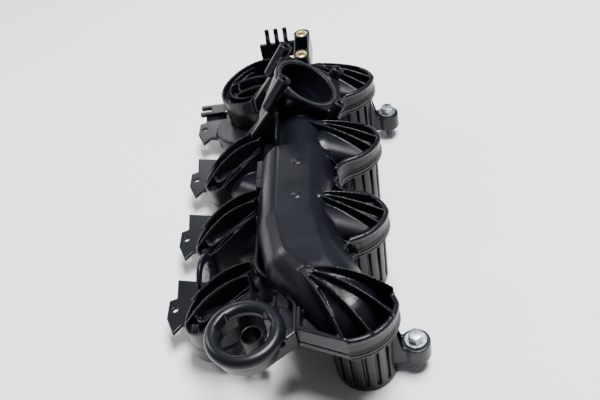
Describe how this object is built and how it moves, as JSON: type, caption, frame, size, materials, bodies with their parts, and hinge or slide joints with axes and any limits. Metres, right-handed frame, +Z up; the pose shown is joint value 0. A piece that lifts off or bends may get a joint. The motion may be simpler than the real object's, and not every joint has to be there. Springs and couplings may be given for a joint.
{
  "type": "intake manifold",
  "caption": "Moulded plastic intake manifold: a ribbed plenum with a leaning throttle flange, slotted runner cups along one side, scroll shaped ducts along the other and a bolt ear at each end.",
  "frame": {"origin": "middle of the footprint, on the plane of the right hand port faces", "axes": "+Y along the plenum towards the throttle end, +X towards the slotted cups and bolt ears, +Z up, away from the port faces"},
  "size_m": [0.2004, 0.3928, 0.1277],
  "materials": {
    "plastic": "black glass filled nylon, satin, slightly worn",
    "rubber": "black moulded rubber seal",
    "steel": "bright zinc plated steel",
    "brass": "knurled brass, dull"
  },
  "bodies": {
    "casing": {"upper_shell": "plastic", "lower_shell": "plastic", "rim_near": "plastic", "rim_far": "plastic", "throttle_neck": "plastic", "throttle_seal": "rubber", "port_cup_1": "plastic", "port_cup_2": "plastic", "port_cup_3": "plastic", "port_cup_4": "plastic", "port_seal_1": "rubber", "port_seal_2": "rubber", "port_seal_3": "rubber", "port_seal_4": "rubber", "runner_hood_2": "plastic", "runner_hood_3": "plastic", "runner_hood_4": "plastic", "left_runner_1": "plastic", "left_runner_2": "plastic", "left_runner_3": "plastic", "left_runner_4": "plastic", "left_seal_1": "rubber", "left_seal_2": "rubber", "left_seal_3": "rubber", "left_seal_4": "rubber", "left_tab_1": "plastic", "left_tab_2": "plastic", "left_tab_3": "plastic", "left_tab_4": "plastic", "far_pocket": "plastic", "harness_fork": "plastic", "window_bracket": "plastic", "collar_bracket": "plastic", "collar_ring": "plastic", "breather_tube": "plastic", "insert_bracket": "plastic", "brass_insert_1": "brass", "brass_insert_2": "brass", "hook_comb": "plastic", "ear_sleeve_near": "steel", "ear_sleeve_far": "steel"},
    "washer_near": {"ear_washer_near": "steel"},
    "bolt_near": {"ear_bolt_near": "steel"},
    "washer_far": {"ear_washer_far": "steel"},
    "bolt_far": {"ear_bolt_far": "steel"}
  },
  "joints": [
    {"name": "washer_near_lift", "type": "slide", "parent": "casing", "child": "washer_near", "axis": [0, 0, 1], "range_m": [0, 0.006]},
    {"name": "bolt_near_turn", "type": "hinge", "parent": "washer_near", "child": "bolt_near", "pos_m": [0.08975, -0.152, 0.026], "axis": [0, 0, 1], "continuous": true},
    {"name": "washer_far_lift", "type": "slide", "parent": "casing", "child": "washer_far", "axis": [0, 0, 1], "range_m": [0, 0.006]},
    {"name": "bolt_far_turn", "type": "hinge", "parent": "washer_far", "child": "bolt_far", "pos_m": [0.08975, 0.12, 0.026], "axis": [0, 0, 1], "continuous": true}
  ]
}
